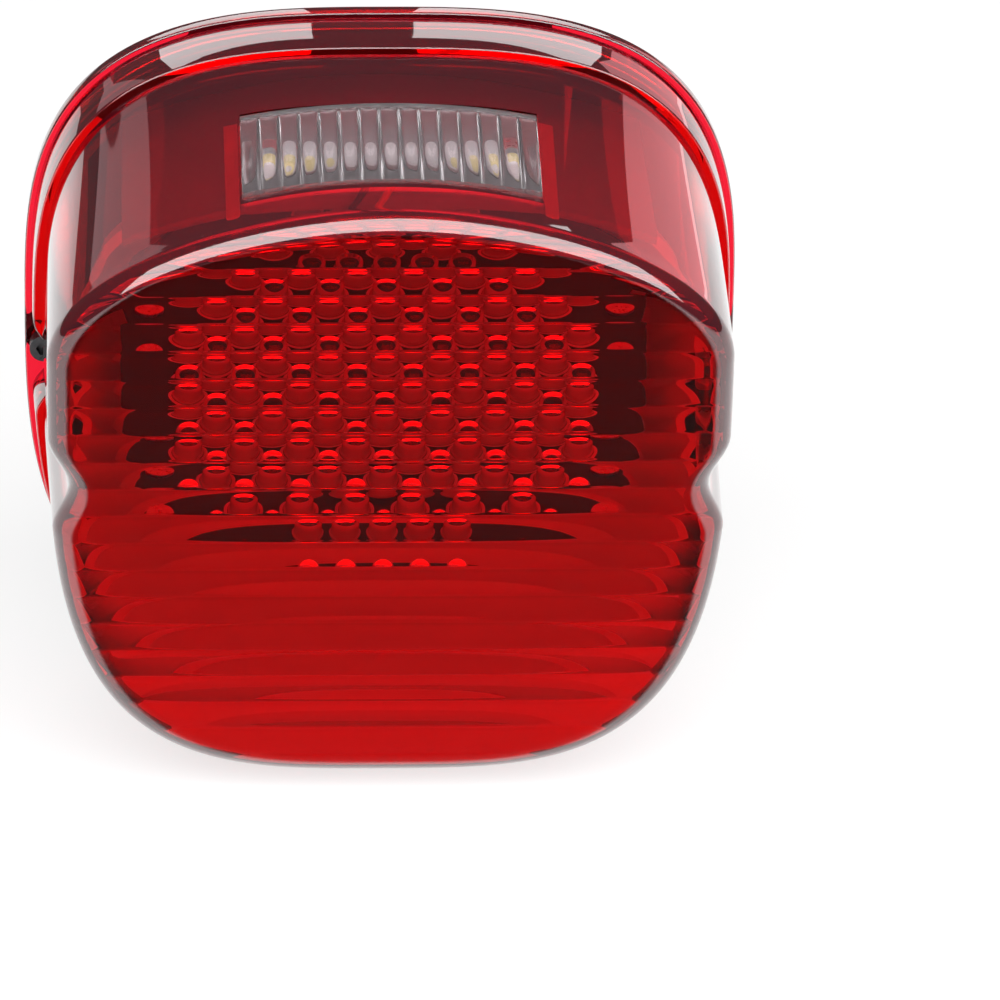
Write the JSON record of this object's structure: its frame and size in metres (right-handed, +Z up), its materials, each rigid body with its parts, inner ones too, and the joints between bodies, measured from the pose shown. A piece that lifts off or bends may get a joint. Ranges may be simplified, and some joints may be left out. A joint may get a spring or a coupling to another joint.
{
  "type": "motorcycle tail light",
  "caption": "Squarish LED tail light with an arched, ribbed red lens, a clear fluted plate-light window in its roof and a black base that bolts on from behind.",
  "frame": {"origin": "centre of the base's flat back face, where it meets the fender", "axes": "+X to the right for someone looking at the lit face, +Y into the fender, +Z up; the lit face looks along -Y"},
  "size_m": [0.13, 0.0728, 0.1308],
  "materials": {
    "black_plastic": "moulded satin black",
    "rubber": "matte",
    "brass": "turned",
    "metallised_plastic": "vacuum metallised",
    "black_board": "black solder mask",
    "screw_steel": "zinc plated",
    "led_epoxy": "clear epoxy",
    "black_component": "moulded",
    "capacitor_sleeve": "sleeved",
    "ivory_plastic": "moulded",
    "white_board": "white solder mask",
    "phosphor": "phosphor",
    "red_wire": "insulated",
    "black_wire": "insulated",
    "red_lens": "transparent, polished",
    "clear_lens": "transparent, polished"
  },
  "bodies": {
    "base": {"base_housing": "black_plastic", "board_posts": "black_plastic", "base_seal": "rubber", "mount_inserts": "brass", "lens_screw_inserts": "brass", "rim_gasket": "rubber", "wire_grommet": "rubber", "reflector": "metallised_plastic", "light_board": "black_board", "board_screws": "screw_steel", "red_leds": "led_epoxy", "chip_resistors": "black_component", "regulator": "black_component", "surge_diode": "black_component", "filter_capacitor": "capacitor_sleeve", "lead_connector": "ivory_plastic", "plate_hood": "black_plastic", "plate_board": "white_board", "plate_board_screws": "screw_steel", "white_leds": "phosphor", "red_jumper": "red_wire", "black_jumper": "black_wire"},
    "lens": {"lens_shell": "red_lens", "plate_window": "clear_lens"},
    "left_screw": {"left_lens_screw": "screw_steel", "left_screw_washer": "screw_steel"},
    "right_screw": {"right_lens_screw": "screw_steel", "right_screw_washer": "screw_steel"}
  },
  "joints": [
    {"name": "lens_removal", "type": "slide", "parent": "base", "child": "lens", "axis": [0, -1, 0], "range_m": [0, 0.08]},
    {"name": "left_lens_screw_turn", "type": "hinge", "parent": "lens", "child": "left_screw", "pos_m": [-0.0615, -0.0089, -0.0084], "axis": [0, 1, 0], "continuous": true},
    {"name": "right_lens_screw_turn", "type": "hinge", "parent": "lens", "child": "right_screw", "pos_m": [0.0615, -0.0089, -0.0084], "axis": [0, 1, 0], "continuous": true}
  ]
}
